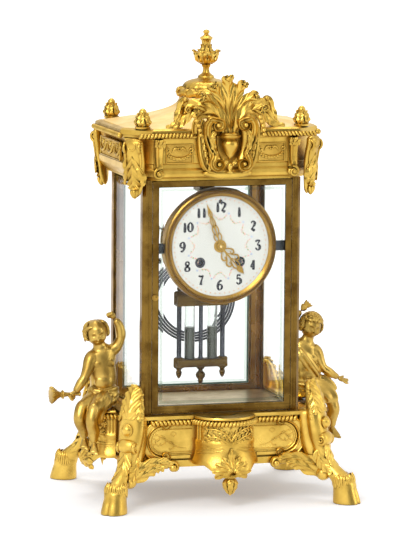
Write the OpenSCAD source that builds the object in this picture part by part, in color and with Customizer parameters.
// Four-glass mantel clock in gilt bronze: a glazed brass case on a scrolled base with a cherub at each side,
// a canted entablature and concave roof, a two-train round movement, a mercury pendulum and a coiled gong.
// X runs to the right, Y to the back and Z up. The origin is on the floor under the middle of the clock.

/* [Case] */
// Width over the four posts
case_w = 146.4; // [130:0.1:160]
// Depth over the four posts
case_d = 112; // [100:0.5:124]
// Height of the posts
case_h = 210; // [200:1:240]
// Width of a post on the front
post_w = 8.3; // [7.5:0.1:10]
// Depth of the post's front lip, which the door latches behind
post_lip = 4.3; // [3.6:0.1:4.5]
// Depth of a whole post
post_d = 10; // [9.5:0.1:14]
// Cant on the outer corner of a post
post_cant = 3; // [1:0.1:4]
// Thickness of the case floor and of the top plate
case_plate_t = 3; // [2:0.1:5]
// Thickness of the side glasses
side_glass_t = 4; // [3:0.1:5]
// Depth of the groove that holds a side glass
glass_groove = 1.6; // [0.8:0.1:2]
// Width of the bevel on the glasses
bevel_w = 5; // [3:0.1:8]
// Depth of the bevel on the glasses
bevel_t = 0.9; // [0.4:0.1:1.2]

/* [Doors] */
// Gap between a door and the posts
door_gap = 0.6; // [0.6:0.05:0.8]
// Gap above and below a door
door_end_gap = 1.2; // [0.8:0.1:1.6]
// Thickness of a door frame
door_t = 4.5; // [4:0.1:5]
// Width of the stiles
stile_w = 5.5; // [5:0.1:7]
// Height of the top rail
top_rail = 5; // [4:0.1:7]
// Height of the bottom rail
bottom_rail = 6.5; // [5:0.1:9]
// Thickness of a door glass
door_glass_t = 2.2; // [2:0.1:2.4]
// Front lip of the frame before the glass
glass_lip = 1.2; // [1:0.1:1.4]
// Width of the rebate that the door glass seats in
glass_rebate = 1.2; // [0.8:0.1:1.4]
// Radius of the hinge pins
pin_r = 0.9; // [0.7:0.05:1]
// Length of a hinge pin beyond the door's gap
pin_reach = 3; // [2:0.1:4]
// Height of the door knob above the foot of the posts
knob_up = 105.5; // [80:0.5:130]
// Diameter of the door knob
knob_d = 6.4; // [5:0.1:8]

/* [Base] */
// Clear height under the base
base_clear = 35; // [30:0.5:38]
// Height of the base casting
base_h = 46; // [44:0.5:50]
// How far the base stands out beyond the posts at a side
base_out_x = 12.8; // [11:0.1:14.8]
// How far the base stands out beyond the posts at the front and the back
base_out_y = 10; // [9:0.1:12]
// Cant on the base's corners
base_cant = 10; // [8:0.5:12]
// Wall of the hollow base casting
base_wall = 6; // [4:0.5:8]
// Depth of the recessed panels
panel_in = 3; // [2:0.1:4]
// Half the width of the front bow
bow_half = 27; // [25:0.5:28]
// How far the front bow stands out
bow_out = 23; // [20:0.5:25]
// Half the width of a side bow
seat_half = 24; // [22:0.5:26]
// How far a side bow stands out
seat_out = 22; // [20:0.5:22]
// Diameter of a hoof foot at the floor
hoof_d = 24; // [22:0.5:25]
// Distance of a foot's middle from its post's corner, along the diagonal
foot_reach = 47.6; // [46:0.2:50]

/* [Head] */
// Height of the entablature
entab_h = 46; // [44:0.5:48]
// How far the cornice stands out beyond the posts at a side
cornice_out_x = 18.3; // [16:0.1:20.8]
// How far the cornice stands out beyond the posts at the front and the back
cornice_out_y = 10.8; // [9:0.1:13]
// Cant on the cornice's corners
cornice_cant = 22.9; // [20:0.1:25]
// Height of the cornice slab
cornice_h = 6; // [5:0.1:8]
// Radius of the rope moulding
rope_r = 2; // [1.5:0.1:2.5]
// Rise of the concave roof
roof_h = 23; // [20:0.5:28]
// Radius of the collar at the top of the roof
collar_r = 24; // [22:0.5:26]
// Radius of the wreath
wreath_r = 27.5; // [25:0.5:29]
// Half the thickness of the wreath
wreath_t = 4; // [3:0.1:5]
// Height of the finial above the cap
finial_h = 46.5; // [42:0.5:50]
// Height of a corner finial
bud_h = 18; // [15:0.5:20]

/* [Dial] */
// Visible diameter of the enamel dial
dial_d = 90; // [84:0.5:92]
// Width of the bezel's ring
bezel_w = 7.2; // [6:0.1:8.5]
// Drop of the dial's centre below the top of the posts
dial_drop = 61; // [57:0.5:65]
// Front face of the dial behind the front of the case
dial_in = 7.2; // [7:0.1:8]
// Thickness of the dial
dial_t = 2; // [1.5:0.1:2.2]
// Depth of the bezel
bezel_t = 14; // [13.8:0.1:14.2]
// Distance of each winding hole from the middle
wind_x = 18.5; // [18.3:0.1:19]
// Drop of the winding holes below the dial's centre
wind_z = 14.4; // [14:0.1:15]
// Turn of the minute hand, clockwise from twelve
minute_turn = 340.8; // [0:0.1:360]
// Turn of the hour hand, clockwise from twelve
hour_turn = 139; // [0:0.1:360]

/* [Movement] */
// Radius of the movement plates
plate_r = 42; // [41.5:0.5:44]
// Thickness of the movement plates
plate_t = 2; // [1.6:0.1:2.4]
// Front face of the front plate behind the front of the case
plate_in = 20; // [19.6:0.1:20.4]
// Space between the plates
plate_gap = 26; // [26:0.5:28]
// Teeth on a barrel
barrel_teeth = 72; // [60:6:72]
// Teeth on the pinions
pinion_teeth = 12; // [10:2:12]
// Teeth on the intermediate wheel
inter_teeth = 60; // [54:6:60]
// Teeth on the centre wheel
centre_teeth = 64; // [60:2:66]
// Teeth on the third wheel
third_teeth = 60; // [54:2:62]
// Teeth on the escape wheel
escape_teeth = 30; // [24:2:32]
// Module of the barrel teeth
barrel_m = 0.48; // [0.46:0.01:0.48]
// Module of the intermediate and centre wheels
wheel_m = 0.42; // [0.4:0.01:0.43]
// Module of the third wheel
third_m = 0.36; // [0.34:0.01:0.37]
// Radial clearance of a pivot in its hole
pivot_gap = 0.05; // [0.03:0.01:0.08]

/* [Pendulum and gong] */
// Plane of the pendulum behind the back plate
pend_back = 17; // [15:0.5:18]
// Height of the pendulum's frame between its bars
pend_h = 56; // [50:0.5:60]
// Half the distance between the pendulum's columns
pend_half = 20.5; // [18:0.5:24]
// Height of the lower bar above the foot of the posts
pend_up = 32; // [28:0.5:40]
// Radius of a mercury jar
jar_r = 4.8; // [4:0.1:5.2]
// Half the distance between the jars
jar_half = 10.6; // [9:0.1:12]
// Height of the mercury in the jars
mercury_h = 32; // [20:0.5:40]
// Outer radius of the gong
gong_r = 42; // [36:0.5:46]
// Turns of the gong
gong_turns = 4.6; // [3.6:0.1:5]
// Radial pitch of the gong
gong_pitch = 4.6; // [4:0.1:5.4]
// Radius of the gong's steel
gong_wire = 1.15; // [0.9:0.05:1.4]
// Drop of the gong's centre below the dial's centre
gong_drop = 57; // [53:0.5:60]
// Plane of the gong behind the middle of the case
gong_y = 43; // [38:0.5:44]

// How far the case stands right of the middle of the whole, because the torch reaches further left
middle_shift = 7.49; // [0:0.01:12]

/* [Hidden] */
$fn = 48;
gilt = "#d9a93c";
brass = "#a9803a";
steel = "#4a4a50";

// Levels and planes that several pieces share
base_a = case_w / 2 + base_out_x;
base_b = case_d / 2 + base_out_y;
cornice_a = case_w / 2 + cornice_out_x;
cornice_b = case_d / 2 + cornice_out_y;
ledge_z = base_clear + base_h;
top_z = ledge_z + case_h;
head_z = top_z + entab_h;
roof_z = head_z + roof_h;
front_y = -case_d / 2;
post_in_x = case_w / 2 - post_w;
door_half = post_in_x - door_gap;
door_z = ledge_z + door_end_gap;
door_h = case_h - 2 * door_end_gap;
hinge_in = 2.2;
hinge_deep = 1.5;
hinge_x = door_half - hinge_in;
hinge_y = front_y + hinge_deep;
glass_x = case_w / 2 - side_glass_t - 1.5;
dial_z = top_z - dial_drop;
bezel_d = dial_d + 2 * bezel_w;
dial_y = front_y + dial_in;
plate_y = front_y + plate_in;
back_y = plate_y + plate_t + plate_gap;
pend_y = back_y + plate_t + pend_back;
fit = 0.3;

// Canted rectangle, and lofts through rings of points
function canted(a, b, c) = [[a - c, -b], [a, c - b], [a, b - c], [a - c, b],
    [c - a, b], [-a, b - c], [-a, c - b], [c - a, -b]];
function canted_ring(a, b, c, z) = [for (p = canted(a, b, c)) [p[0], p[1], z]];
function unit(v) = v / norm(v);
function spline(p0, p1, p2, p3, t) = 0.5 * (2 * p1 + (p2 - p0) * t + (2 * p0 - 5 * p1 + 4 * p2 - p3) * t * t
    + (3 * p1 - p0 - 3 * p2 + p3) * t * t * t);
function smooth(p, k) = [for (i = [0 : len(p) - 2]) for (j = [0 : k - 1])
    spline(p[max(i - 1, 0)], p[i], p[i + 1], p[min(i + 2, len(p) - 1)], j / k), p[len(p) - 1]];
function place(s) = [s[0], s[1], s[2]];
function ring(s, way, up, n) = let (side = unit(cross(up, way)), lift = cross(way, side))
    [for (k = [0 : n - 1]) place(s) + s[3] * cos(360 * k / n) * side + s[4] * sin(360 * k / n) * lift];
function way(s, i) = unit(place(s[min(i + 1, len(s) - 1)]) - place(s[max(i - 1, 0)]));

module skin(rings) {
    n = len(rings[0]);
    last = (len(rings) - 1) * n;
    polyhedron([for (r = rings) for (p = r) p], concat(
        [for (i = [0 : len(rings) - 2]) for (j = [0 : n - 1]) let (a = i * n + j, b = i * n + (j + 1) % n)
            each [[a, a + n, b + n], [a, b + n, b]]],
        [for (j = [1 : n - 2]) [0, j, j + 1]],
        [for (j = [1 : n - 2]) [last, last + j + 1, last + j]]), convexity = 4);
}

// A limb, leaf or scroll: a tube along stations of x, y, z, half width and half thickness
module limb(stations, sides = 8, steps = 2, up = [0, 0, 1]) {
    s = smooth(stations, steps);
    skin([for (i = [0 : len(s) - 1]) ring(s[i], way(s, i), up, sides)]);
}

module ball(at, r, squash = [1, 1, 1], fn = 8) {
    hull() translate(at) scale(squash) sphere(r, $fn = fn);
}

// Rod, disc or ring along the Y axis, from y0 and h long
module along_y(x, y0, z, h) {
    translate([x, y0 + h, z]) rotate([90, 0, 0]) linear_extrude(h) children();
}

module rod_y(x, y0, z, h, r) {
    translate([x, y0 + h, z]) rotate([90, 0, 0]) cylinder(h = h, r = r);
}

// Mirrors into the four corners: sx and sy are 1 or -1
module corner(sx, sy) {
    mirror([sx < 0 ? 1 : 0, 0, 0]) mirror([0, sy > 0 ? 1 : 0, 0]) children();
}

module mirrored(sx) {
    mirror([sx < 0 ? 1 : 0, 0, 0]) children();
}

// The base
module base_outline(inset = 0) {
    polygon(canted(base_a - inset, base_b - inset, base_cant - 2 * inset));
}

module stadium(half, h) {
    hull() for (x = [-half + h / 2, half - h / 2]) translate([x, 0]) circle(h / 2);
}

// A recessed panel with one round end and its C-scroll, from the bow to the corner
scroll_r = 20;
scroll_w = 5.5;
scroll_x = base_a - base_cant - scroll_r;
module front_panel() {
    inner = bow_half + 4;
    bar_h = 2.6;
    translate([0, panel_in - base_b, ledge_z - slab_h - scroll_r + sunk]) rotate([90, 0, 0]) {
        linear_extrude(panel_in) difference() {
            translate([scroll_x, 0]) circle(scroll_r);
            translate([scroll_x, 0]) circle(scroll_r - scroll_w);
            translate([scroll_x - 2 * scroll_r, -scroll_r]) square([2 * scroll_r - 1, 2 * scroll_r]);
        }
        for (z = [-1, 1]) linear_extrude(panel_in - 0.8)
            translate([inner, z * (scroll_r - scroll_w) - bar_h / 2]) square([scroll_x - inner, bar_h]);
    }
}

foot_slab = 6;
slab_h = 3;
sunk = 0.5;
module base_plinth() {
    corner_in = 4;
    color(gilt) difference() {
        union() {
            translate([0, 0, base_clear + foot_slab]) linear_extrude(base_h - foot_slab - slab_h)
                base_outline(panel_in);
            translate([0, 0, base_clear]) linear_extrude(foot_slab) base_outline(0);
            translate([0, 0, ledge_z - slab_h]) linear_extrude(slab_h) base_outline(0);
            for (sy = [-1, 1]) for (sx = [-1, 1]) corner(sx, sy) front_panel();
            for (sy = [-1, 1]) translate([-scroll_x, sy * (base_b - panel_in),
                ledge_z - slab_h - rope_r + sunk])
                rotate([0, 90, 0]) cylinder(h = 2 * scroll_x, r = rope_r, $fn = 24);
        }
        translate([0, 0, base_clear - 1]) linear_extrude(base_h - base_wall + 1)
            polygon(canted(base_a - panel_in - base_wall, base_b - panel_in - base_wall, corner_in));
        hinge_bores(ledge_z - pin_reach - door_end_gap);
        for (sx = [-1, 1]) for (sy = [-1, 1])
            translate([sx * nut_x, sy * nut_y, ledge_z - base_wall - 1])
                cylinder(h = base_wall + 2, r = tie_r + pivot_gap, $fn = 24);
    }
}

// Bores for the pins of both doors: each door hangs on the right of the viewer who opens it
module hinge_bores(z) {
    translate([0, 0, z]) {
        translate([hinge_x, hinge_y, 0]) cylinder(h = pin_reach + 2, r = pin_r + pivot_gap, $fn = 24);
        translate([-hinge_x, -hinge_y, 0]) cylinder(h = pin_reach + 2, r = pin_r + pivot_gap, $fn = 24);
    }
}

// Nuts under the base that draw the posts down on it
tie_r = 1.5;
tie_deep = 9;
nut_x = case_w / 2 - 3.4;
nut_y = case_d / 2 - 3.4;
nut_t = 3;
module base_nuts() {
    color(brass) for (sx = [-1, 1]) for (sy = [-1, 1])
        translate([sx * nut_x, sy * nut_y, ledge_z - base_wall - nut_t]) {
            difference() {
                cylinder(h = nut_t, r = 3.4, $fn = 6);
                translate([0, 0, -1]) cylinder(h = nut_t + 2, r = tie_r, $fn = 24);
            }
            cylinder(h = base_wall + nut_t + tie_deep - 1, r = tie_r, $fn = 24);
        }
}

// A leg: the console beside the post, the knee, the foot and its two C-scrolls, along the corner's diagonal
module leg() {
    post_x = case_w / 2;
    post_y = case_d / 2;
    hoof_r = hoof_d / 2;
    knee_z = base_clear + 11;
    color(gilt) difference() {
        union() {
            translate([post_x, -post_y, 0]) rotate([0, 0, -45]) {
                limb([[4, 0, ledge_z + 29, 2, 2], [5.5, 0, ledge_z + 24, 6, 4], [8, 0, ledge_z + 14, 9, 5.5],
                    [11, 0, ledge_z + 3, 11, 7], [13.5, 0, ledge_z - 9, 12, 8],
                        [12.5, 0, ledge_z - 22, 12.5, 9],
                    [12, 0, knee_z, 14, 9.5], [13, 0, base_clear - 1, 14, 10], [21, 0, 25, 12, 9.5],
                    [31, 0, 18.5, 10, 8.5], [41, 0, 16, 9, 8]], 8, 2, [1, 0, 0.4]);
                limb([[15, 0, ledge_z - 1, 2, 2], [21, 0, ledge_z - 4, 5, 3], [23, 0, ledge_z - 9, 6, 3.5],
                    [21, 0, ledge_z - 15, 5, 3], [15, 0, ledge_z - 18, 2, 2]], 6, 1, [1, 0, 0.2]);
                limb([[16, 0, knee_z + 2, 7, 3], [22, 0, knee_z + 8, 8, 3], [26.5, 0, knee_z + 12.5, 6, 2.4],
                    [23, 0, knee_z + 15.5, 4, 1.6]], 6, 1, [0, 0, 1]);
                hull() {
                    translate([foot_reach, 0, 0]) cylinder(h = 3, r = hoof_r, $fn = 16);
                    translate([foot_reach - 1.5, 0, 15]) scale([1, 1, 0.8]) sphere(hoof_r - 1.2, $fn = 10);
                }
                for (t = [-1, 1]) ball([foot_reach - 5, t * 5, 20], 5.4, [1, 1, 0.8], 6);
                for (t = [-1 : 1]) ball([foot_reach + 7, t * 6, 15.5], 4.6, [1, 1, 1.3], 6);
            }
            limb([[post_x + 6, -post_y - 8, 23, 6, 6.5], [68, -base_b, 24, 6, 6],
                [58, -base_b - 1, 26, 5.5, 5.5],
                [49, -base_b - 1, base_clear - 5.5, 4.5, 4], [45.5, -base_b - 0.5, base_clear - 3, 3, 2.4]],
                    6, 1);
            limb([[post_x + 8, -post_y - 6, 23, 6, 6.5], [base_a - 1, -50, 24, 6, 6],
                [base_a, -41, 26, 5.5, 5.5],
                [base_a + 0.5, -33, base_clear - 5.5, 4.5, 4], [base_a, -30, base_clear - 3, 3, 2.4]], 6, 1);
        }
        translate([0, 0, base_clear]) linear_extrude(base_h) base_outline(0);
        translate([-1, -post_y, ledge_z - 1]) cube([post_x + 1, 2 * post_y, 60]);
        translate([0, 0, -10]) cube([400, 400, 20], center = true);
    }
}

module leg_front_left() { corner(-1, -1) leg(); }
module leg_front_right() { corner(1, -1) leg(); }
module leg_rear_left() { corner(-1, 1) leg(); }
module leg_rear_right() { corner(1, 1) leg(); }

// Half drum that stands out from a straight side along -Y: its ledge, rope, body and flared skirt
function drum_r(half, out) = (half * half + out * out) / (2 * out);
module half_drum(half, out, flare, drop, wall_y) {
    r = drum_r(half, out);
    body_h = base_h - slab_h - 2 * rope_r;
    difference() {
        translate([0, wall_y - out + r, ledge_z - slab_h]) rotate_extrude($fn = 40) polygon(concat(
            [[0, slab_h], [r, slab_h], [r, 0]],
            [for (a = [0 : 60 : 180]) [r - rope_r + rope_r * sin(a), -rope_r + rope_r * cos(a)]],
            [for (k = [0 : 4]) [r - 3.5 + flare * pow(k / 4, 2), -2 * rope_r - body_h * k / 4]],
            [[0, -2 * rope_r - body_h - drop]]));
        translate([-100, wall_y, -10]) cube([200, 200, 200]);
    }
}

module front_bow() {
    y0 = -base_b - bow_out;
    apron_z = base_clear;
    color(gilt) difference() {
        union() {
            half_drum(bow_half, bow_out, 5.5, 5, -base_b);
            limb([[0, y0 + 3, apron_z + 17, 3, 2], [0, y0 - 0.5, apron_z + 9, 9, 2.6],
                [0, y0 - 1.5, apron_z - 1, 10, 3.4],
                [0, y0 - 0.5, apron_z - 10, 6, 3]], 8, 2, [0, -1, 0.2]);
            for (sx = [-1, 1]) mirrored(sx) {
                limb([[2, y0 - 1, apron_z + 11, 2.5, 1.6], [8, y0 + 1, apron_z + 10, 3.4, 2],
                    [15, y0 + 5, apron_z + 6, 3.4, 2], [21, y0 + 11, apron_z + 2, 1.6, 1.2]],
                        6, 1, [0, -1, 0]);
                limb([[1, y0 - 1, apron_z + 1, 2.5, 2], [8, y0 + 1, apron_z, 4, 2.4],
                    [14, y0 + 4, apron_z + 0.5, 3, 2], [20, y0 + 9, apron_z + 3, 1.4, 1.2]],
                        6, 1, [0, -1, 0]);
            }
            hull() {
                ball([0, y0, 21], 6, [1, 1, 0.9]);
                ball([0, y0, 14], 3.4);
            }
            for (a = [-50 : 50 : 50]) ball([5 * sin(a), y0 - 5 * cos(a) + 1, 21], 2.6, [1, 1, 1.9], 6);
            for (a = [-70, -35, 35, 70]) ball([10 * sin(a), y0 + 2, apron_z + 12 + 5 * cos(a)],
                2.4, [1, 0.8, 1.6], 6);
        }
        translate([-100, -base_b, -10]) cube([200, 200, 200]);
    }
}

module side_bow() {
    color(gilt) difference() {
        union() {
            rotate([0, 0, 90]) half_drum(seat_half, seat_out, 3, 3, -base_a);
            for (a = [-60 : 30 : 60]) ball([base_a + 9 * cos(a) - 2, 12 * sin(a), base_clear - 2],
                3.6, [1, 1, 1.3], 6);
            for (t = [-1, 1]) ball([base_a + 3, t * 17, base_clear + 1], 3.4, [1, 1.4, 1], 6);
            ball([base_a + 8, 0, base_clear - 9], 4, [1, 1, 1.3]);
        }
        translate([base_a - 400, -200, -10]) cube([400, 400, 200]);
    }
}

module side_bow_right() { side_bow(); }
module side_bow_left() { mirrored(-1) side_bow(); }

// A seated cherub from stations for the trunk, the arms and the legs: it is cut to sit on the side bow
// The figures are drawn on the seats of a base 86 wide each way with its ledge at 81, and move with their seats
module on_seat(sx) {
    translate([sx * (base_a - 86), 0, ledge_z - 81]) children();
}

module cherub(head, head_r, trunk, arms, legs, drape) {
    seat_r = drum_r(seat_half, seat_out) + fit;
    color(gilt) difference() {
        on_seat(sign(head[0])) union() {
            ball(head, head_r, [0.9, 0.95, 1], 10);
            ball(head + [0, head_r * 0.15, head_r * 0.3], head_r * 0.95, [1, 1, 0.85], 10);
            for (a = [0 : 60 : 300]) ball(head + head_r * [0.85 * cos(a), 0.45 + 0.5 * sin(a),
                0.35 + 0.25 * sin(2 * a)],
                head_r * 0.34, [1, 1, 1], 6);
            limb(trunk, 10, 2, [0, -1, 0.1]);
            for (a = arms) {
                limb(a, 6, 2, [0, -1, 0.05]);
                ball(place(a[len(a) - 1]), 3.6, [1, 1, 1], 6);
            }
            for (l = legs) {
                limb(l, 7, 2, [0, -1, 0.05]);
                ball(place(l[0]), l[0][3]);
            }
            for (d = drape) limb(d, 6, 1, [0, -1, 0.2]);
        }
        for (sx = [-1, 1]) translate([sx * (base_a + seat_out + fit - seat_r), 0, 0])
            cylinder(h = ledge_z, r = seat_r, $fn = 40);
        translate([-base_a - fit, -100, 0]) cube([2 * (base_a + fit), 200, ledge_z]);
        translate([-case_w / 2 - fit, -100, 0]) cube([case_w + 2 * fit, 200, 400]);
        children();
    }
}

hand_left = [-126.5, -16, 96];
module cherub_left() {
    cherub([-103, -8, 150], 11,
        [[-96, -2, 82, 13, 11], [-95.5, -2, 92, 14, 12], [-95.5, -4, 103, 11.5, 10],
            [-96.5, -6, 114, 12.5, 10.5],
            [-97.5, -7, 125, 13.5, 9.5], [-98, -7, 132, 9, 7], [-100, -7, 138, 4.6, 4.6],
                [-101.5, -8, 142, 4.6, 4.6]],
        [[[-90, -6, 130, 5.5, 5.5], [-84.5, -6, 136, 5.4, 5.4], [-80, -8, 147, 4.4, 4.4],
            [-82.5, -9, 156, 4.2, 4.2],
            [-88, -11, 163, 2.6, 2.6], [-91, -12, 167, 3.6, 3]],
        [[-105, -10, 129, 5.5, 5.5], [-110, -12, 123, 5.4, 5.2], [-115, -14, 113, 4.4, 4.4],
            [-120, -15, 104, 4, 4],
            [-125, -16, 97.5, 2.6, 2.6], [-127, -16, 95.5, 3.2, 3]]],
        [[[-98, -4, 90, 9, 9], [-110, -12, 88, 8.4, 8.4], [-119, -19, 82, 6.6, 6.6],
            [-121.5, -21, 76, 5.6, 5.6],
            [-119, -20, 66, 5.4, 5.4], [-115, -19, 57, 3.4, 3.4], [-116, -22, 52, 3.2, 2.6],
                [-118, -27, 50, 2.6, 1.6]],
        [[-93, -8, 90, 9, 9], [-102, -20, 88, 8.4, 8.4], [-111, -30, 81, 6.6, 6.6], [-113, -32, 75, 5.6, 5.6],
            [-111.5, -31, 64, 5.4, 5.4], [-110, -30, 54, 3.4, 3.4], [-111, -33, 48, 3.2, 2.6],
                [-112, -38, 46, 2.6, 1.6]]],
        [[[-84, -8, 98, 3, 3], [-90, -14, 95, 5, 4], [-100, -15, 94, 5, 4], [-108, -10, 95, 4, 3]],
        [[-92, -16, 93, 5, 3], [-98, -22, 90, 6, 4], [-104, -27, 84, 5, 3], [-106, -29, 76, 3, 2]]])
        torch_shaft(pivot_gap);
}

module cherub_right() {
    cherub([99, -8, 149.5], 10.4,
        [[96, -2, 82, 13, 11], [95.5, -2, 92, 13.5, 11.5], [94.5, -4, 103, 11, 10], [94.5, -6, 114, 12, 10.5],
            [94.5, -7, 124, 13, 9.5], [94.5, -7, 131, 9, 7], [96, -7, 137, 4.6, 4.6],
                [98, -8, 141, 4.6, 4.6]],
        [[[88, -5, 129, 5.5, 5.5], [83.5, -4, 134, 5, 5], [80.5, -3, 146, 4.2, 4.2], [84, -4, 156, 4, 4],
            [90.5, -6, 163.5, 2.6, 2.6], [94.5, -7, 167.5, 3.4, 3]],
        [[101, -9, 127, 5.5, 5.5], [105, -10, 122, 5.2, 5.2], [109.5, -12, 112, 4.4, 4.4],
            [118, -12, 105.5, 3.8, 3.8],
            [125, -12, 101, 2.6, 2.6], [130, -13, 98.5, 3.4, 2.4]]],
        [[[98, -4, 90, 9, 9], [106, -14, 90, 8.4, 8.4], [113, -23, 84, 6.6, 6.6], [115, -26, 78, 5.6, 5.6],
            [115, -25, 68, 5.2, 5.2], [115, -24, 59, 3.4, 3.4], [117.5, -26, 54, 3, 2.6],
                [119, -29, 50, 2.4, 1.6]],
        [[97, 2, 90, 9, 9], [108, 2, 91, 8.4, 8.4], [119, -2, 84, 6.6, 6.6], [122, -3, 77, 5.6, 5.6],
            [121, -3, 66, 5.2, 5.2], [119, -3, 57, 3.4, 3.4], [121, -5, 51, 3, 2.6],
                [123, -9, 48, 2.4, 1.6]]],
        [[[84, -10, 100, 3, 3], [92, -15, 97, 5, 4], [102, -14, 96, 5, 4], [109, -8, 97, 4, 3]],
        [[93, -17, 95, 5, 3], [99, -22, 92, 6, 4], [105, -27, 86, 5, 3], [107, -29, 78, 3, 2]]]);
}

// The torch that the left cherub holds, through the fist
torch_way = [-1, -0.1, 0.02];
module torch_shaft(gap = 0) {
    on_seat(-1) limb([for (k = [-7, 0, 7]) concat(hand_left + k * torch_way, [1.7 + gap, 1.7 + gap])], 8, 1);
}

module torch() {
    color(gilt) {
        torch_shaft();
        on_seat(-1) {
            limb([for (s = [[6.8, 2.2], [9, 2.4], [12, 4], [13, 3], [16, 6], [19.5, 5.4], [22, 0.8]])
                concat(hand_left + s[0] * torch_way, [s[1], s[1]])], 8, 1);
            for (a = [0 : 60 : 300])
                ball(hand_left + 18.5 * torch_way + [0, 3.4 * cos(a), 3.4 * sin(a)], 2, [1.6, 1, 1], 6);
            ball(hand_left - 7 * torch_way, 2.2, [1, 1, 1], 6);
            ball(hand_left + 12 * torch_way, 4, [0.4, 1, 1], 8);
        }
    }
}

// The case
module post_shape() {
    x1 = case_w / 2;
    y1 = case_d / 2;
    polygon([[post_in_x, -y1], [x1 - post_cant, -y1], [x1, post_cant - y1], [x1, post_d - y1],
        [x1 - 5.5, post_d - y1], [x1 - 5.5, post_lip - y1], [post_in_x, post_lip - y1]]);
}

module post() {
    color(brass) difference() {
        translate([0, 0, ledge_z]) linear_extrude(case_h) post_shape();
        translate([glass_x, post_d - case_d / 2 - glass_groove, ledge_z + case_plate_t])
            cube([side_glass_t, glass_groove + 1, case_h - 2 * case_plate_t]);
        for (k = [0.3, 0.62]) translate([post_in_x + post_w * k, -case_d / 2 - 0.3, ledge_z - 1])
            cylinder(h = case_h + 2, r = 0.7, $fn = 16);
        translate([nut_x, -nut_y, ledge_z - 1]) cylinder(h = tie_deep + 1, r = tie_r + pivot_gap, $fn = 24);
    }
}

module post_front_left() { corner(-1, -1) post(); }
module post_front_right() { corner(1, -1) post(); }
module post_rear_left() { corner(-1, 1) post(); }
module post_rear_right() { corner(1, 1) post(); }

// A bevelled pane standing in the XZ plane from y = 0 back, w by h, with its bevel on the front
module pane(w, h, t, bevel) {
    ring_at = function (in_x, y) [[in_x - w / 2, y, in_x], [w / 2 - in_x, y, in_x],
        [w / 2 - in_x, y, h - in_x],
        [in_x - w / 2, y, h - in_x]];
    skin([ring_at(0, t), ring_at(0, bevel_t), ring_at(bevel, 0)]);
}

module side_glass() {
    w = case_d - 2 * post_d + 2 * glass_groove;
    color("#cfe6dc") translate([glass_x + side_glass_t, 0, ledge_z + case_plate_t]) rotate([0, 0, 90])
        pane(w, case_h - 2 * case_plate_t, side_glass_t, bevel_w + glass_groove);
}

module side_glass_right() { side_glass(); }
module side_glass_left() { mirrored(-1) side_glass(); }

module case_plate(z) {
    a = case_w / 2 - 5.5;
    b = case_d / 2 - post_d;
    color(brass) translate([0, 0, z]) linear_extrude(case_plate_t) union() {
        square([2 * a, 2 * b], center = true);
        square([case_w - 3, 2 * b], center = true);
    }
}

module case_floor() { case_plate(ledge_z); }
module case_top_plate() { case_plate(top_z - case_plate_t); }

// A door: frame with its pins, bevelled glass, and a knob that turns a latch behind the post
module door_frame() {
    mould = 1.5;
    color(brass) difference() {
        union() {
            translate([-door_half, front_y, door_z]) cube([2 * door_half, door_t, door_h]);
            for (z = [door_z - pin_reach, door_z + door_h]) translate([hinge_x, hinge_y, z - 0.5])
                cylinder(h = pin_reach + 0.5, r = pin_r, $fn = 24);
        }
        translate([stile_w - door_half, front_y - 1, door_z + bottom_rail])
            cube([2 * (door_half - stile_w), door_t + 2, door_h - bottom_rail - top_rail]);
        translate([stile_w - door_half - glass_rebate, front_y + glass_lip,
            door_z + bottom_rail - glass_rebate])
            cube([2 * (door_half - stile_w + glass_rebate), door_t,
                door_h - bottom_rail - top_rail + 2 * glass_rebate]);
        for (z = [door_z + mould, door_z + bottom_rail - mould - 0.6])
            translate([-door_half - 1, front_y - 0.1, z])
            cube([2 * door_half + 2, 0.6, 0.6]);
        rod_y(knob_in - door_half, front_y - 1, ledge_z + knob_up, door_t + 2, knob_shaft_r + pivot_gap);
    }
}

module door_glass() {
    color("#d4e9e2") translate([0, front_y + glass_lip, door_z + bottom_rail - glass_rebate])
        pane(2 * (door_half - stile_w + glass_rebate), door_h - bottom_rail - top_rail + 2 * glass_rebate,
            door_glass_t,
            bevel_w + glass_rebate);
}

knob_shaft_r = 1.1;
knob_in = 2.4;
module door_knob() {
    x = knob_in - door_half;
    z = ledge_z + knob_up;
    tongue_t = 1.2;
    tongue_l = 5;
    color(brass) {
        translate([x, front_y, z]) rotate([90, 0, 0]) rotate_extrude($fn = 32) polygon([[0, 0],
            [knob_d / 2 - 0.6, 0],
            [knob_d / 2, 0.6], [knob_d / 2 - 0.3, 1.4], [1.6, 1.8], [2.2, 2.4], [1.6, 3.2], [0, 3.4]]);
        rod_y(x, front_y - 0.2, z, door_t + 0.4 + tongue_t, knob_shaft_r);
        along_y(x, front_y + door_t + 0.2, z, tongue_t) union() {
            circle(1.6);
            polygon([[-1.6, 0], [1.6, 0], [1, tongue_l], [-1, tongue_l]]);
        }
    }
}

module turned() { rotate([0, 0, 180]) children(); }
module front_door_frame() { door_frame(); }
module front_door_glass() { door_glass(); }
module front_door_knob() { door_knob(); }
module rear_door_frame() { turned() door_frame(); }
module rear_door_glass() { turned() door_glass(); }
module rear_door_knob() { turned() door_knob(); }

// The head: profile rows of height above the posts, inset at the sides and inset at the front
entab_rows = [[0, 11, 5], [2, 11, 5], [3.5, 9, 3], [6, 6.5, 2.6], [9, 4, 2.6], [11, 3.4, 4.2],
    [14.5, 3.2, 4.2],
    [15.5, 3.6, 2.9], [20, 5, 2.9], [26, 6.2, 2.9], [32, 6, 2.9], [34, 5.4, 2.6],
        [entab_h - cornice_h - 3, 4, 1.8]];
module entab_body() {
    skin([for (r = entab_rows)
        canted_ring(cornice_a - r[1], cornice_b - r[2], cornice_cant - r[1] * 0.3, top_z + r[0])]);
}

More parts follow.
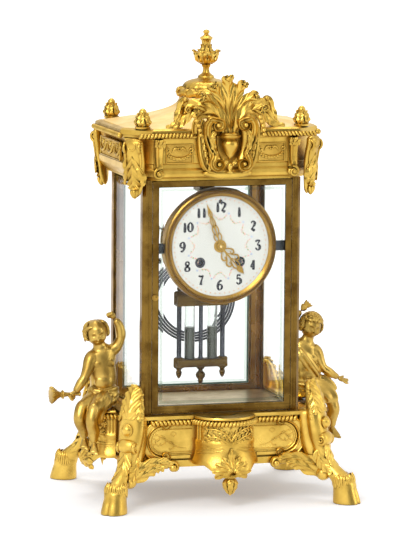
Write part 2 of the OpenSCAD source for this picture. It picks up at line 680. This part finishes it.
module entablature() {
    panel_z = top_z + 15.5;
    color(gilt) difference() {
        union() {
            entab_body();
            for (sy = [-1, 1]) for (sx = [-1, 1]) corner(sx, sy) {
                rod_y(62, 2.6 - cornice_b - 1.6, top_z + 6.5, 3, 4.6);
                translate([58, 1.2 - cornice_b, top_z + 11]) cube([8, 3, 26]);
            }
        }
        for (sy = [-1, 1]) for (sx = [-1, 1]) corner(sx, sy) translate([30, 2.9 - cornice_b - 1, panel_z])
            cube([25, 2, 17]);
        hinge_bores(top_z - 2);
    }
}

module cornice() {
    z0 = head_z - cornice_h - 3;
    under = [[0, 4, 1.8], [1, 3, 1.4], [3, 1.6, 0.8], [3.4, 0, 0], [cornice_h + 1.6, 0.4, 0.4],
        [cornice_h + 3, 3, 3]];
    color(gilt) union() {
        skin([for (r = under) canted_ring(cornice_a - r[1], cornice_b - r[2], cornice_cant, z0 + r[0])]);
        for (sy = [-1, 1]) translate([cornice_cant - cornice_a, sy * (cornice_b - 0.4), z0 + rope_r])
            rotate([0, 90, 0]) cylinder(h = 2 * (cornice_a - cornice_cant), r = rope_r - 0.4, $fn = 20);
    }
}

// Concave roof: canted rings that draw in fast and then climb
roof_edge = 5;
module roof() {
    steps = 9;
    r_top = collar_r;
    edge = roof_edge;
    function draw(t) = pow(1 - t, 2.3);
    color(gilt) skin(concat([for (k = [0 : steps]) let (t = k / steps, d = draw(t),
            a = r_top + (cornice_a - edge - r_top) * d, b = r_top + (cornice_b - edge - r_top) * d)
        canted_ring(a, b, min(a, b) * 0.586 + (cornice_cant - 0.586 * min(a, b)) * d, head_z + roof_h * t)]));
}

module wreath() {
    color(gilt) translate([0, 0, roof_z]) union() {
        cylinder(h = 2 * wreath_t, r = wreath_r - wreath_t - 1);
        translate([0, 0, wreath_t]) rotate_extrude($fn = 64) translate([wreath_r - wreath_t, 0])
            circle(wreath_t, $fn = 24);
        translate([0, 0, 2 * wreath_t]) rotate_extrude($fn = 64) polygon([[0, 0], [21.5, 0], [21.5, 1],
            [20, 2], [20, 4.4],
            [18.5, 5.6], [12, 7.2], [7, 9], [0, 9]]);
    }
}

// The urn finial, turned, with its acanthus cup
module finial() {
    z0 = roof_z + 2 * wreath_t + 9;
    h = finial_h - 4;
    color(gilt) translate([0, 0, z0]) {
        rotate_extrude($fn = 40) polygon([[0, 0], [6.5, 0], [6.5, 1.6], [5.4, 2.2], [6, 3.4], [3.6, 5],
            [3, 7.5], [3.4, 9.5],
            [7.5, 12.5], [10, 15], [11.2, 18.5], [10.4, 20.5], [7, 22], [5, 24.5], [4.4, 26], [4, h - 9],
                [5.6, h - 8.6],
            [5.2, h - 7.4], [3.4, h - 5], [1.8, h - 2.6], [1.4, h - 1.6], [0, h - 1.6]]);
        translate([0, 0, h - 1.4]) sphere(1.9, $fn = 20);
    }
}

module corner_finial() {
    color(gilt) translate([73.5, -53.5, head_z]) rotate_extrude($fn = 24) polygon([[0, 0], [7, 0],
        [7, 1.4], [5.6, 2.4],
        [6.4, 4.6], [6, 7.5], [4.6, 10.5], [3.4, 12.6], [2.2, bud_h - 3.6], [2.6, bud_h - 2.6],
            [1.8, bud_h - 0.6], [0, bud_h]]);
}

module corner_finials() {
    for (sx = [-1, 1]) for (sy = [-1, 1]) corner(sx, sy) difference() {
        corner_finial();
        roof();
    }
}

// Acanthus on a canted corner: it wraps the cornice's cant, narrows at the waist and ends in a hanging bud
module corner_leaf() {
    cx = cornice_a - cornice_cant / 2;
    cy = cornice_b - cornice_cant / 2;
    color(gilt) difference() {
        union() {
            translate([cx, -cy, top_z]) rotate([0, 0, -45]) {
                limb([[-3.5, 0, 36, 9, 2.6], [-2.5, 0, 30, 10, 3.4], [-2, 0, 20, 9, 3.6], [-2, 0, 10, 8.5, 4],
                    [-3.5, 0, 3, 6.5, 4.4], [-7, 0, -3, 4, 4]], 8, 2, [1, 0, 0.01]);
                for (t = [-1, 1]) {
                    ball([-1, t * 8, 22], 3, [0.9, 1, 2], 6);
                    ball([-1, t * 7, 13], 3, [0.9, 1, 2], 6);
                    ball([-3, t * 8.5, 31], 3, [0.9, 1, 1.6], 6);
                }
                for (a = [0 : 90 : 270]) ball([-8.5 + 3 * cos(a), 3 * sin(a), -9], 3.4, [1, 1, 1.9], 6);
                hull() {
                    ball([-8.5, 0, -8], 5.4);
                    ball([-8.5, 0, -17], 2.2, [1, 1, 1], 6);
                }
            }
        }
        entab_body();
        translate([0, 0, top_z + entab_h - cornice_h - 3]) linear_extrude(40) square(400, center = true);
        translate([-200, -case_d / 2 - fit, top_z - 60]) cube([200 + case_w / 2 + fit, 200, 60]);
    }
}

module corner_leaf_front_left() { corner(-1, -1) corner_leaf(); }
module corner_leaf_front_right() { corner(1, -1) corner_leaf(); }
module corner_leaf_rear_left() { corner(-1, 1) corner_leaf(); }
module corner_leaf_rear_right() { corner(1, 1) corner_leaf(); }

// The crest: a vase with a fan of plumes between two C-scrolls, on the front of the head
module crest() {
    y0 = -cornice_b - 2;
    middle = 1;
    fan = 13;
    fan_l = 47;
    function feather(k) = [for (t = [0 : 0.25 : 1]) let (l = (fan_l - 1.6 * abs(k)) * t)
        [l * sin(fan * k), y0 - 2 + 1.3 * abs(k) + 8 * t * t, head_z - 2 + l * cos(fan * k), 2.4 + 13 * t * (1.15 - t),
            2.2 - 0.6 * t]];
    color(gilt) difference() {
        translate([middle, 0, 0]) union() {
            for (k = [-2 : 2]) limb(feather(k), 6, 1, [0, -1, 0.3]);
            ball([0, y0 + 3.6, head_z + fan_l - 3.5], 4.2, [1.2, 0.9, 0.8]);
            limb([[0, y0, top_z + 12, 2, 2], [0, y0 - 2, top_z + 23, 4, 4], [0, y0 - 3.2, top_z + 31, 7.5, 6],
                [0, y0 - 3, top_z + 36.5, 9, 6], [0, y0 - 2.4, top_z + 40, 6, 5], [0, y0 - 1.4, head_z - 2, 7.4, 5]],
                10, 1, [0, -1, 0]);
            for (sx = [-1, 1]) mirrored(sx) {
                limb([[5, y0 + 0.4, head_z, 3, 2], [12, y0 + 1.2, head_z + 14, 5, 2.4], [23, y0 + 2.8, head_z + 23, 7, 2.8],
                    [35, y0 + 4, head_z + 23, 6, 2.6], [43, y0 + 4.4, head_z + 17, 3, 2.2]], 6, 1, [0, -1, 0.3]);
                ball([41.5, y0 + 2.6, head_z + 16.5], 3.6, [1, 0.9, 1], 6);
                limb([[15, y0 + 5.4, head_z + 2, 3, 2.4], [27, y0 + 5.6, head_z + 8, 7, 2.6], [38, y0 + 6, head_z + 9, 7.4, 2.6],
                    [48, y0 + 6.2, head_z + 5, 4.4, 2.2], [57, y0 + 6, head_z + 2, 2, 1.8]], 6, 1, [0, -1, 0.3]);
                limb([[10.5, y0 - 1, head_z + 6, 2.6, 2.6], [15, y0 - 1.8, head_z + 9.5, 3, 3], [19.4, y0 - 2.6, head_z + 3, 3.6, 3.6],
                    [18.4, y0 - 2.6, head_z - 10, 4, 4], [14.4, y0 - 2.6, head_z - 21, 3.6, 3.6],
                    [13.4, y0 - 2.6, head_z - 30, 3.2, 3.2], [9, y0 - 2.6, head_z - 38, 3, 3], [4, y0 - 2.4, head_z - 36, 2.4, 2.4]],
                    6, 1, [0, -1, 0.02]);
                ball([8.6, y0 - 2.8, head_z - 33.4], 3, [1, 1, 1], 6);
                limb([[21, y0 + 0.6, head_z + 9, 2.6, 2.6], [25.4, y0 - 0.2, head_z + 1, 3.2, 3.2], [26, y0, head_z - 7, 3.2, 3.2],
                    [24, y0 + 2.2, head_z - 15, 3, 3.2], [22.5, y0 + 2.6, head_z - 25, 2.4, 2.6],
                    [22, y0 + 2.6, head_z - 33, 1.2, 1.4]], 6, 1, [0, -1, 0.02]);
            }
        }
        entab_body();
        translate([0, 0, top_z + entab_h - cornice_h - 3]) linear_extrude(cornice_h + 3)
            polygon(canted(cornice_a, cornice_b + rope_r - 0.6, cornice_cant));
        translate([0, 0, head_z - 1]) linear_extrude(4)
            polygon(canted(cornice_a - roof_edge, cornice_b - roof_edge, cornice_cant));
    }
}

// Dial, bezel and straps
module bezel() {
    r1 = bezel_d / 2;
    r0 = dial_d / 2;
    seat = dial_in - 3.8;
    rear = bezel_t;
    color(brass) translate([0, front_y + 3.8, dial_z]) rotate([-90, 0, 0]) rotate_extrude($fn = 96)
        polygon(concat(
        [[r0, seat], [r0, seat - 1.2], [r0 + 1.5, 1]],
        [for (a = [0 : 15 : 90]) [r0 + 3.4 + (r1 - r0 - 3.4) * sin(a), 3.2 - 3.2 * cos(a)]],
        [[r1, rear - 4], [r1 - 2.4, rear - 2], [r1 - 2.4, rear + 2.2], [plate_r - 5, rear + 2.2],
            [plate_r - 5, rear + 1],
            [r1 - 4, rear + 1], [r1 - 4, seat + 2.4], [r0 + 2, seat + 2.4], [r0 + 2, seat]]));
}

module dial() {
    hub_hole = 3.2;
    wind_hole = 2.8;
    color("white") difference() {
        rod_y(0, dial_y, dial_z, dial_t, dial_d / 2 + 2 - fit, $fn = 96);
        rod_y(0, dial_y - 1, dial_z, dial_t + 2, hub_hole);
        for (sx = [-1, 1]) rod_y(sx * wind_x, dial_y - 1, dial_z - wind_z, dial_t + 2, wind_hole);
        rod_y(0, dial_y - 1, dial_z + dial_d / 2 - 5, dial_t + 2, 1.2, $fn = 24);
    }
}

module movement_straps() {
    strap_w = 9;
    color(steel) for (sx = [-1, 1]) mirrored(sx) difference() {
        translate([bezel_d / 2 - 2.4, front_y + 8.4, dial_z - strap_w / 2 - 1])
            cube([case_w / 2 - 5.5 - bezel_d / 2 + 2.4, 2.2, strap_w]);
        translate([0, front_y, dial_z]) rotate([-90, 0, 0]) cylinder(h = 20, r = bezel_d / 2, $fn = 96);
    }
}

// Wheelwork: gear outlines lie in the XZ plane, turned by phase from +X towards +Z
module gear(teeth, m, phase, bore = 0, leaf = false) {
    half = 180 / teeth * 0.38;
    r_tip = m * teeth / 2 + 0.85 * m;
    r_root = m * teeth / 2 - 1.2 * m;
    at_root = leaf ? 1.1 : 1.3;
    difference() {
        polygon([for (k = [0 : teeth - 1]) for (p = [[r_root, -at_root], [r_tip, -0.5], [r_tip, 0.5],
            [r_root, at_root]])
            let (a = phase + 360 * k / teeth + half * p[1]) p[0] * [cos(a), sin(a)]]);
        if (bore > 0) circle(bore);
    }
}

module crossings(r, rim, hub, arms, phase) {
    difference() {
        circle(r - rim);
        circle(hub);
        for (k = [0 : arms - 1]) rotate(phase + 360 * k / arms) translate([0, -0.7]) square([r, 1.4]);
    }
}

function turn_to(a, b) = atan2(b[1] - a[1], b[0] - a[0]);
function meshed(a, b, phase, teeth_a, teeth_b) = let (d = turn_to(a, b))
    d + 180 - (0.5 - (d - phase) * teeth_a / 360) * 360 / teeth_b;
function spur_distance(teeth_a, teeth_b, m) = m * (teeth_a + teeth_b) / 2;

// Arbor places in the XZ plane from the dial's centre, each set by the mesh with the one before
centre_p = [0, 0];
barrel_p = [wind_x, -wind_z];
inter_a = spur_distance(inter_teeth, pinion_teeth, wheel_m);
inter_b = spur_distance(barrel_teeth, pinion_teeth, barrel_m);
inter_l = (inter_a * inter_a + norm(barrel_p) * norm(barrel_p) - inter_b * inter_b) / (2 * norm(barrel_p));
inter_w = sqrt(inter_a * inter_a - inter_l * inter_l);
inter_p = unit(barrel_p) * inter_l + [-unit(barrel_p)[1], unit(barrel_p)[0]] * inter_w;
third_a = spur_distance(centre_teeth, pinion_teeth, wheel_m);
third_p = third_a * [cos(110), sin(110)];
escape_a = spur_distance(third_teeth, pinion_teeth, third_m);
escape_p = [0, third_p[1] + sqrt(escape_a * escape_a - third_p[0] * third_p[0])];
escape_r = 8;
anchor_p = escape_p + [0, 11.75];
motion_m = 0.5;
hour_m = 0.48;
minute_p = [-24 * motion_m, 0];
hammer_p = [-29, 7];

barrel_phase = 2;
inter_phase = meshed(barrel_p, inter_p, barrel_phase, barrel_teeth, pinion_teeth);
centre_phase = meshed(inter_p, centre_p, inter_phase, inter_teeth, pinion_teeth);
third_phase = meshed(centre_p, third_p, centre_phase, centre_teeth, pinion_teeth);
escape_phase = meshed(third_p, escape_p, third_phase, third_teeth, pinion_teeth);
cannon_phase = 0;
minute_phase = meshed(centre_p, minute_p, cannon_phase, 12, 36);
hour_phase = meshed(minute_p, centre_p, minute_phase, 10, 40);

arbor_r = 1.1;
pivot_r = 0.6;
centre_r = 1.2;
cannon_r = 2;
wind_r = 2.2;
plate_back = plate_y + plate_t;

module arbor(p, turned_r = arbor_r) {
    rod_y(p[0], plate_back + 0.2, dial_z + p[1], plate_gap - 0.4, turned_r, $fn = 24);
    rod_y(p[0], plate_y + 0.2, dial_z + p[1], plate_gap + 2 * plate_t - 0.4, pivot_r, $fn = 24);
}

module toothed(p, y, t, teeth, m, phase, leaf = false) {
    along_y(p[0], plate_back + y, dial_z + p[1], t) gear(teeth, m, phase, 0, leaf);
}

module wheel(p, y, t, teeth, m, phase) {
    r = m * teeth / 2;
    along_y(p[0], plate_back + y, dial_z + p[1], t) difference() {
        gear(teeth, m, phase);
        crossings(r, 3 * m + 0.8, 3, 5, phase);
    }
}

module barrel(p) {
    drum_r = barrel_m * barrel_teeth / 2 - 1.1;
    rod_y(p[0], plate_back + 2.4, dial_z + p[1], 14, drum_r, $fn = 64);
    toothed(p, 16.4, 1.4, barrel_teeth, barrel_m, barrel_phase);
    rod_y(p[0], plate_y - 0.4, dial_z + p[1], plate_gap + 2 * plate_t, wind_r, $fn = 32);
    translate([p[0] - 1.4, dial_y - 0.4, dial_z + p[1] - 1.4]) cube([2.8, plate_y - dial_y + 0.4, 2.8]);
}

module going_barrel() { color(brass) barrel(barrel_p); }
module strike_barrel() { color(brass) barrel([-barrel_p[0], barrel_p[1]]); }

module intermediate_wheel() {
    color(brass) {
        toothed(inter_p, 15.6, 3, pinion_teeth, barrel_m, inter_phase, true);
        wheel(inter_p, 20.4, 0.8, inter_teeth, wheel_m, inter_phase);
        arbor(inter_p);
    }
}

module centre_wheel() {
    color(brass) {
        wheel(centre_p, 0.8, 0.8, centre_teeth, wheel_m, centre_phase);
        toothed(centre_p, 19.6, 2.4, pinion_teeth, wheel_m, centre_phase, true);
        arbor(centre_p);
        rod_y(0, hand_front, dial_z, plate_back + 1 - hand_front, centre_r, $fn = 24);
    }
}

module third_wheel() {
    color(brass) {
        toothed(third_p, 0.4, 2.6, pinion_teeth, wheel_m, third_phase, true);
        wheel(third_p, 10, 0.8, third_teeth, third_m, third_phase);
        arbor(third_p);
    }
}

module escape_wheel() {
    tooth_h = 1.9;
    color(brass) {
        toothed(escape_p, 9, 3, pinion_teeth, third_m, escape_phase, true);
        along_y(0, plate_back + 21.4, dial_z + escape_p[1], 0.8) difference() {
            polygon([for (k = [0 : escape_teeth - 1]) for (p = [[escape_r - tooth_h, 0], [escape_r, 0.35],
                [escape_r, 0.45]])
                let (a = 360 / escape_teeth * (k + p[1])) p[0] * [cos(a), sin(a)]]);
            crossings(escape_r - tooth_h + 0.6, 1.4, 2.4, 4, 20);
        }
        arbor(escape_p);
    }
}

// The anchor and crutch: the pallets stay just outside the teeth, because the wheel turns freely here
module anchor() {
    y = plate_back + 20.8;
    drop = anchor_p[1] - escape_p[1];
    reach_x = 7.2;
    tip = escape_r + 0.9;
    fork_z = -42;
    color(steel) {
        along_y(0, y, dial_z + anchor_p[1], 1.8) union() {
            circle(2.4);
            for (sx = [-1, 1]) mirror([sx < 0 ? 1 : 0, 0]) polygon([[0, 1.6], [0, -1.4],
                [reach_x - 0.4, -3.2],
                [reach_x - 0.2, -drop + sqrt(tip * tip - reach_x * reach_x)],
                    [reach_x + 1.4, -drop + 4.6], [reach_x + 1.8, -2]]);
        }
        rod_y(0, plate_back + 0.2, dial_z + anchor_p[1], plate_gap - 0.4, arbor_r, $fn = 24);
        rod_y(0, plate_y + 0.2, dial_z + anchor_p[1], plate_gap + 2 * plate_t + 4, pivot_r + 0.2, $fn = 24);
        translate([-1.2, back_y + plate_t + 1.2, dial_z + anchor_p[1] + fork_z]) cube([2.4, 1.2, 2 - fork_z]);
        for (sx = [-1, 1]) translate([sx * 2.6 - 0.5, back_y + plate_t + 1.2, dial_z + anchor_p[1] + fork_z])
            cube([1, pend_back, 2.4]);
        translate([-3.1, back_y + plate_t + 1.2, dial_z + anchor_p[1] + fork_z]) cube([6.2, 1.2, 2.4]);
    }
}

// Motion work and hands
hand_front = dial_y - 2.8;
minute_y = dial_y - 2.8;
hour_y = dial_y - 1.5;
hand_t = 0.6;
module minute_wheel() {
    color(brass) difference() {
        union() {
            along_y(minute_p[0], plate_y - 2, dial_z, 0.8) difference() {
                gear(36, motion_m, minute_phase);
                crossings(9, 2, 2.8, 4, 10);
            }
            along_y(minute_p[0], plate_y - 5.2, dial_z, 3.4) gear(10, hour_m, minute_phase, 0, true);
        }
        rod_y(minute_p[0], plate_y - 6, dial_z, 6, 0.9 + pivot_gap, $fn = 24);
    }
}

// A pierced hand of Louis style, pointing up: r1 is its reach, scale sets the leaf
module hand_shape(r1, w) {
    difference() {
        union() {
            circle(3.4);
            translate([-0.5, 0]) square([1, r1 - 3]);
            polygon([[-0.5, r1 - 6], [-0.12, r1], [0.12, r1], [0.5, r1 - 6]]);
            for (k = [[0.3, 1], [0.52, 0.8], [0.7, 0.6]]) translate([0, r1 * k[0]]) scale([w * k[1],
                w * 1.5 * k[1]]) circle(1);
            for (sx = [-1, 1]) translate([sx * w * 0.75, r1 * 0.42]) circle(w * 0.42);
        }
        for (k = [[0.3, 1], [0.52, 0.8]]) for (sx = [-1, 1])
            translate([sx * w * 0.45 * k[1], r1 * k[0]]) scale([w * 0.28 * k[1], w * 0.8 * k[1]]) circle(1);
        circle(1.6);
    }
}

module minute_hand() {
    color(gilt) {
        difference() {
            union() {
                along_y(0, minute_y, dial_z, hand_t) rotate(-minute_turn) hand_shape(38, 3.6);
                rod_y(0, minute_y, dial_z, plate_y - 0.4 - minute_y, cannon_r);
                along_y(0, plate_y - 2.4, dial_z, 1.8) gear(12, motion_m, cannon_phase, 0, true);
            }
            rod_y(0, minute_y - 1, dial_z, plate_y - minute_y + 2, centre_r + pivot_gap, $fn = 24);
        }
        translate([0, minute_y, dial_z]) rotate([90, 0, 0]) cylinder(h = 0.5, r1 = 2, r2 = 1.3, $fn = 32);
    }
}

module hour_hand() {
    color(gilt) difference() {
        union() {
            along_y(0, hour_y, dial_z, hand_t) rotate(-hour_turn) hand_shape(27, 4.2);
            rod_y(0, hour_y, dial_z, plate_y - 4 - hour_y, 2.7);
            along_y(0, plate_y - 4.8, dial_z, 0.8) difference() {
                gear(40, hour_m, hour_phase);
                crossings(9.6, 2, 3.6, 4, 30);
            }
        }
        rod_y(0, hour_y - 1, dial_z, plate_y - hour_y, cannon_r + pivot_gap + 0.01, $fn = 48);
    }
}

// Plates, pillars and what hangs on the back plate
pillar_places = [[0, -37], [-36.5, 10], [36.5, 10], [-17, 33.5]];
module arbor_holes(y, centre_hole) {
    rod_y(0, y - 1, dial_z, plate_t + 2, centre_hole + pivot_gap, $fn = 24);
    for (sx = [-1, 1]) rod_y(sx * barrel_p[0], y - 1, dial_z + barrel_p[1],
        plate_t + 2, wind_r + pivot_gap, $fn = 32);
    for (p = [inter_p, third_p, escape_p]) rod_y(p[0], y - 1, dial_z + p[1],
        plate_t + 2, pivot_r + pivot_gap, $fn = 24);
    rod_y(0, y - 1, dial_z + anchor_p[1], plate_t + 2, pivot_r + 0.2 + pivot_gap, $fn = 24);
    rod_y(hammer_p[0], y - 1, dial_z + hammer_p[1], plate_t + 2, pivot_r + 0.2 + pivot_gap, $fn = 24);
}

module front_plate() {
    color(brass) {
        difference() {
            rod_y(0, plate_y, dial_z, plate_t, plate_r, $fn = 96);
            arbor_holes(plate_y, centre_r);
        }
        rod_y(minute_p[0], plate_y - 5, dial_z, 5.5, 0.9, $fn = 24);
    }
}

module back_plate() {
    color(brass) difference() {
        rod_y(0, back_y, dial_z, plate_t, plate_r, $fn = 96);
        arbor_holes(back_y, pivot_r);
    }
}

module pillars() {
    color(brass) for (p = pillar_places) translate([p[0], plate_back, dial_z + p[1]]) rotate([-90, 0, 0])
        rotate_extrude($fn = 32) polygon([[0, 0], [2.6, 0], [2.6, 2], [1.6, 3.4], [2, plate_gap / 2],
            [1.6, plate_gap - 3.4],
            [2.6, plate_gap - 2], [2.6, plate_gap], [0, plate_gap]]);
}

// Brocot suspension: a cock on the back plate, its block and the two thin springs
pend_top = dial_z + anchor_p[1];
module suspension() {
    y0 = back_y + plate_t;
    color(brass) difference() {
        union() {
            translate([-7, y0, pend_top + 4]) cube([14, pend_back + 3, 4]);
            translate([-7, y0, pend_top + 4]) cube([14, 3, 10]);
            translate([-2.5, pend_y - 1.4, pend_top + 1]) cube([5, 2.8, 3]);
        }
        for (x = [-4.5, 4.5]) rod_y(x, y0 - 1, pend_top + 11, 5, 1, $fn = 24);
    }
    color(steel) translate([-2, pend_y - 0.1, pend_top - 0.7]) cube([4, 0.2, 2]);
}

// The pendulum, hanging at rest
pend_bar = ledge_z + pend_up;
pend_bar_h = 9;
module pendulum_column(x) {
    translate([x, pend_y, pend_bar]) rotate_extrude($fn = 24) polygon([[0, -11], [1.4, -9.6], [2.6, -7],
        [1.4, -4.6], [2.4, -2.4],
        [2.4, 0], [1.7, 0], [1.7, pend_h + pend_bar_h], [2.4, pend_h + pend_bar_h],
            [2.4, pend_h + pend_bar_h + 2],
        [1.2, pend_h + pend_bar_h + 4], [0, pend_h + pend_bar_h + 5]]);
}

module pendulum_frame() {
    bar_w = pend_half + 3.4;
    color(brass) difference() {
        union() {
            for (z = [pend_bar, pend_bar + pend_h]) translate([-bar_w, pend_y - jar_r - 1.2, z])
                cube([2 * bar_w, 2 * jar_r + 2.4, z > pend_bar ? pend_bar_h : 3]);
            for (sx = [-1, 1]) pendulum_column(sx * pend_half);
            translate([0, pend_y, pend_bar]) rotate_extrude($fn = 24) polygon([[0, -17], [1.6, -15.6],
                [2.6, -13], [1.4, -10.4],
                [3.2, -8], [3.2, -5.4], [1.6, -4], [1.6, 0], [1.1, 0], [1.1, pend_top - pend_bar - 2],
                    [0, pend_top - pend_bar - 2]]);
            translate([-2.5, pend_y - 1.2, pend_top - 7]) cube([5, 2.4, 6]);
        }
        for (sx = [-1, 1]) translate([sx * jar_half, pend_y, pend_bar + pend_h - 1])
            cylinder(h = pend_bar_h + 2, r = jar_r + 0.1, $fn = 40);
    }
}

module pendulum_jars() {
    wall = 0.8;
    color("#dfe9e6") for (sx = [-1, 1]) translate([sx * jar_half, pend_y, pend_bar + 3]) difference() {
        cylinder(h = pend_h + pend_bar_h - 5, r = jar_r, $fn = 40);
        translate([0, 0, 1.2]) cylinder(h = pend_h + pend_bar_h, r = jar_r - wall, $fn = 40);
    }
}

module mercury() {
    color("#b8bcc0") for (sx = [-1, 1]) translate([sx * jar_half, pend_y, pend_bar + 4.2])
        cylinder(h = mercury_h, r = jar_r - 0.8, $fn = 40);
}

// The gong: one steel coil that winds in from its block, and the bracket that carries the block
gong_z = dial_z - gong_drop;
gong_rings = 24;
function gong_at(t) = let (r = gong_r - gong_wire - gong_pitch * t, a = -360 * t)
    [r * cos(a), gong_y, gong_z + r * sin(a)];
gong_path = concat([gong_at(0) + [0, 0, 2 * gong_wire]],
    [for (k = [0 : gong_rings * gong_turns]) gong_at(k / gong_rings)]);
gong_gap = min([for (k = [gong_rings : gong_rings * gong_turns])
    norm(gong_at(k / gong_rings) - gong_at(k / gong_rings - 1))]) - 2 * gong_wire;
echo(gong_gap = gong_gap);
module gong() {
    color(steel) skin([for (k = [0 : len(gong_path) - 1]) ring(concat(gong_path[k], [gong_wire, gong_wire]),
        way(gong_path, k), [0, 1, 0], 6)]);
}

module gong_bracket() {
    p = gong_path[0];
    y0 = back_y + plate_t;
    arm = [31, dial_z - 18];
    color(brass) {
        translate([arm[0] - 4, y0, arm[1] - 4]) cube([8, 2.4, 8]);
        rod_y(arm[0], y0, arm[1], gong_y - y0 + 2, 2.2, $fn = 32);
        translate([p[0] - 2, gong_y - 3, p[2]]) cube([6, 6, 9]);
        translate([arm[0] - 3, gong_y - 1.5, arm[1] - 2]) cube([p[0] - arm[0] + 6, 3, 4]);
        translate([p[0] - 2, gong_y - 1.5, p[2] + 4]) cube([4, 3, arm[1] - p[2] - 4]);
    }
}

// The hammer, on its arbor through the back plate, resting just clear of the gong
module hammer() {
    p = hammer_p;
    head_r = 2.6;
    head_at = gong_z + 33;
    struck_r = gong_r - gong_pitch * 0.63;
    head_x = -sqrt(struck_r * struck_r - pow(head_at - head_r - gong_z, 2)) - 1.5;
    arm_t = 1.6;
    color(steel) {
        rod_y(p[0], plate_back + 0.2, dial_z + p[1], plate_gap - 0.4, arbor_r, $fn = 24);
        rod_y(p[0], plate_y + 0.2, dial_z + p[1], gong_y - plate_y, pivot_r + 0.2, $fn = 24);
        along_y(0, gong_y - arm_t / 2, 0, arm_t) polygon([[p[0] - 1.6, dial_z + p[1] + 1.6],
            [p[0] + 1.6, dial_z + p[1] + 1.6],
            [p[0] + 1.6, dial_z + p[1] - 1.6], [head_x - 2.6, head_at], [head_x - 5, head_at]]);
        translate([head_x - 8, gong_y, head_at]) rotate([0, 90, 0]) cylinder(h = 8, r = head_r, $fn = 32);
    }
}

// The whole stands with the middle of its box over the origin
translate([middle_shift, 0, 0]) {
    base_plinth();
    leg_front_left();
    leg_front_right();
    leg_rear_left();
    leg_rear_right();
    front_bow();
    side_bow_left();
    side_bow_right();
    cherub_left();
    cherub_right();
    torch();
    post_front_left();
    post_front_right();
    post_rear_left();
    post_rear_right();
    side_glass_left();
    side_glass_right();
    case_floor();
    case_top_plate();
    entablature();
    cornice();
    roof();
    crest();
    corner_leaf_front_left();
    corner_leaf_front_right();
    corner_leaf_rear_left();
    corner_leaf_rear_right();
    corner_finials();
    wreath();
    finial();
    bezel();
    dial();
    movement_straps();
    front_plate();
    back_plate();
    pillars();
    suspension();
    gong_bracket();
    gong();
    front_door_frame();
    front_door_glass();
    front_door_knob();
    rear_door_frame();
    rear_door_glass();
    rear_door_knob();
    going_barrel();
    intermediate_wheel();
    centre_wheel();
    third_wheel();
    escape_wheel();
    strike_barrel();
    minute_wheel();
    minute_hand();
    hour_hand();
    anchor();
    hammer();
    pendulum_frame();
    pendulum_jars();
    mercury();
    base_nuts();
}
